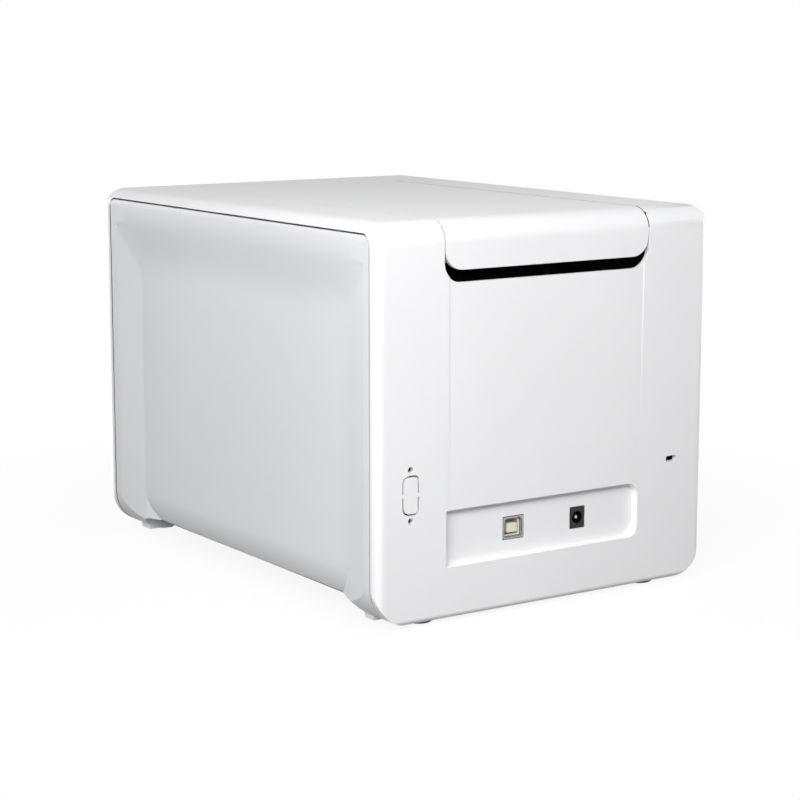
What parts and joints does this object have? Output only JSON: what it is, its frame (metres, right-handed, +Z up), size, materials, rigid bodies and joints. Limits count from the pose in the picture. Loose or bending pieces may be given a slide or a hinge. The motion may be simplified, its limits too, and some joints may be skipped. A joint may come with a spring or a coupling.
{
  "type": "card printer",
  "caption": "Desktop printer for plastic ID cards with a hinged top lid, dished side panels, front card feeder and tray, and a rear connector pocket.",
  "frame": {"origin": "centre of the footprint on the ground, the tray included", "axes": "+X right seen from the front, +Y to the rear with the connectors, +Z up"},
  "size_m": [0.205, 0.31, 0.197],
  "materials": {
    "white_shell": "satin moulded ABS",
    "grey_panel": "fine matte moulding",
    "dark_plastic": "matte",
    "grey_plastic": "matte",
    "rubber": "matte rubber",
    "cleaning_rubber": "tacky sleeve",
    "steel": "zinc plated sheet",
    "aluminium": "extruded",
    "brass": "sintered bronze",
    "pcb": "solder mask",
    "gear_plastic": "acetal",
    "motor_black": "black lacquer",
    "film": "thin dye film",
    "lamp": "frosted acrylic",
    "ceramic": "glazed ceramic bar"
  },
  "bodies": {
    "chassis": {"casing": "white_shell", "right_panel": "grey_panel", "left_panel": "grey_panel", "base_pan": "dark_plastic", "rubber_feet": "rubber", "front_fascia": "grey_panel", "output_tray": "dark_plastic", "chassis_right": "steel", "chassis_left": "steel", "tie_bars": "steel", "card_guide": "grey_plastic", "edge_guides": "dark_plastic", "hopper": "dark_plastic", "exit_chute": "grey_plastic", "main_board": "pcb", "usb_socket": "steel", "dc_inlet": "dark_plastic", "lock_plate": "steel", "front_board": "pcb", "light_pipe": "lamp", "main_motor": "motor_black", "pick_motor": "motor_black", "ribbon_motor": "motor_black", "bushes": "brass", "hinge_pins": "steel", "case_screws": "steel", "ribbon_film": "film"},
    "lid": {"lid_cover": "white_shell", "lid_liner": "grey_plastic", "lid_magnets": "steel", "head_springs": "steel"},
    "head": {"head_carrier": "steel", "print_head": "ceramic", "heat_sink": "aluminium"},
    "tray_stop": {"tray_stop": "grey_plastic"},
    "gauge_lever": {"gauge_lever": "grey_plastic"},
    "control_button": {"control_button": "grey_panel"},
    "feeder_door": {"feeder_door": "grey_panel"},
    "card_pusher": {"card_pusher": "steel"},
    "feed_axle": {"feed_roller": "rubber", "feed_gear": "gear_plastic"},
    "platen_axle": {"platen_roller": "rubber", "platen_gear": "gear_plastic"},
    "back_axle": {"back_roller": "rubber", "back_gear": "gear_plastic"},
    "front_idler": {"front_idler": "gear_plastic"},
    "rear_idler": {"rear_idler": "gear_plastic"},
    "cleaning_roller": {"cleaning_roller": "cleaning_rubber"},
    "pinch_roller": {"pinch_roller": "rubber"},
    "main_pinion": {"main_pinion": "brass"},
    "reduction_gear": {"reduction_gear": "gear_plastic"},
    "pick_axle": {"pick_roller": "rubber", "pick_gear": "gear_plastic"},
    "pick_pinion": {"pick_pinion": "brass"},
    "takeup": {"takeup_spool": "film", "takeup_gear": "gear_plastic"},
    "ribbon_pinion": {"ribbon_pinion": "brass"},
    "supply": {"supply_spool": "film"},
    "divert_gate": {"divert_gate": "grey_plastic"}
  },
  "joints": [
    {"name": "lid_hinge", "type": "hinge", "parent": "chassis", "child": "lid", "pos_m": [0, 0.1445, 0.184], "axis": [-1, 0, 0], "range_deg": [0, 85]},
    {"name": "head_float", "type": "slide", "parent": "lid", "child": "head", "axis": [0, 0, 1], "range_m": [0, 0.002], "stiffness_N_per_m": 3000, "springref_m": -0.002, "deforming": ["head_springs"]},
    {"name": "button_press", "type": "slide", "parent": "chassis", "child": "control_button", "axis": [0, 1, 0], "range_m": [0, 0.0012], "stiffness_N_per_m": 900, "springref_m": -0.0005},
    {"name": "feeder_door_hinge", "type": "hinge", "parent": "chassis", "child": "feeder_door", "pos_m": [0, -0.1198, 0.1182], "axis": [1, 0, 0], "range_deg": [0, 90]},
    {"name": "pusher_slide", "type": "slide", "parent": "chassis", "child": "card_pusher", "axis": [0, 0, 1], "range_m": [0, 0.0155]},
    {"name": "gauge_slide", "type": "slide", "parent": "chassis", "child": "gauge_lever", "axis": [0, 0, 1], "range_m": [0, 0.0035]},
    {"name": "tray_stop_hinge", "type": "hinge", "parent": "chassis", "child": "tray_stop", "pos_m": [0, -0.139, 0.039], "axis": [1, 0, 0], "range_deg": [0, 80]},
    {"name": "platen_spin", "type": "hinge", "parent": "chassis", "child": "platen_axle", "pos_m": [0, 0.02, 0.1046], "axis": [1, 0, 0], "continuous": true},
    {"name": "feed_spin", "type": "hinge", "parent": "chassis", "child": "feed_axle", "pos_m": [0, -0.016, 0.1046], "axis": [1, 0, 0], "continuous": true},
    {"name": "back_spin", "type": "hinge", "parent": "chassis", "child": "back_axle", "pos_m": [0, 0.056, 0.1046], "axis": [1, 0, 0], "continuous": true},
    {"name": "front_idler_spin", "type": "hinge", "parent": "chassis", "child": "front_idler", "pos_m": [0, 0.002, 0.1046], "axis": [1, 0, 0], "continuous": true},
    {"name": "rear_idler_spin", "type": "hinge", "parent": "chassis", "child": "rear_idler", "pos_m": [0, 0.038, 0.1046], "axis": [1, 0, 0], "continuous": true},
    {"name": "reduction_spin", "type": "hinge", "parent": "chassis", "child": "reduction_gear", "pos_m": [0, 0.02, 0.0746], "axis": [1, 0, 0], "continuous": true},
    {"name": "main_pinion_spin", "type": "hinge", "parent": "chassis", "child": "main_pinion", "pos_m": [0, 0.02, 0.0486], "axis": [1, 0, 0], "continuous": true},
    {"name": "cleaning_spin", "type": "hinge", "parent": "chassis", "child": "cleaning_roller", "pos_m": [0, -0.016, 0.1174], "axis": [1, 0, 0], "continuous": true},
    {"name": "pinch_spin", "type": "hinge", "parent": "chassis", "child": "pinch_roller", "pos_m": [0, 0.056, 0.1174], "axis": [1, 0, 0], "continuous": true},
    {"name": "pick_spin", "type": "hinge", "parent": "chassis", "child": "pick_axle", "pos_m": [0, -0.076, 0.1046], "axis": [1, 0, 0], "continuous": true},
    {"name": "pick_pinion_spin", "type": "hinge", "parent": "chassis", "child": "pick_pinion", "pos_m": [0, -0.076, 0.0826], "axis": [1, 0, 0], "continuous": true},
    {"name": "supply_spin", "type": "hinge", "parent": "chassis", "child": "supply", "pos_m": [0, 0.066, 0.151], "axis": [1, 0, 0], "continuous": true},
    {"name": "takeup_spin", "type": "hinge", "parent": "chassis", "child": "takeup", "pos_m": [0, -0.03, 0.151], "axis": [1, 0, 0], "continuous": true},
    {"name": "ribbon_pinion_spin", "type": "hinge", "parent": "chassis", "child": "ribbon_pinion", "pos_m": [0, -0.05338, 0.1375], "axis": [1, 0, 0], "continuous": true},
    {"name": "gate_flip", "type": "hinge", "parent": "chassis", "child": "divert_gate", "pos_m": [0, -0.031, 0.1026], "axis": [1, 0, 0], "range_deg": [0, 22], "stiffness_Nm_per_rad": 0.02}
  ],
  "couplings": [
    {"joint": "feed_spin", "follows": "platen_spin", "ratio": 1},
    {"joint": "back_spin", "follows": "platen_spin", "ratio": 1},
    {"joint": "front_idler_spin", "follows": "platen_spin", "ratio": -1.25},
    {"joint": "rear_idler_spin", "follows": "platen_spin", "ratio": -1.25},
    {"joint": "reduction_spin", "follows": "platen_spin", "ratio": -0.5},
    {"joint": "main_pinion_spin", "follows": "platen_spin", "ratio": 1.6667},
    {"joint": "cleaning_spin", "follows": "platen_spin", "ratio": -1.4},
    {"joint": "pinch_spin", "follows": "platen_spin", "ratio": -1.4},
    {"joint": "pick_pinion_spin", "follows": "pick_spin", "ratio": -2.6667},
    {"joint": "takeup_spin", "follows": "supply_spin", "ratio": 1.4615},
    {"joint": "ribbon_pinion_spin", "follows": "supply_spin", "ratio": -5.1154}
  ]
}
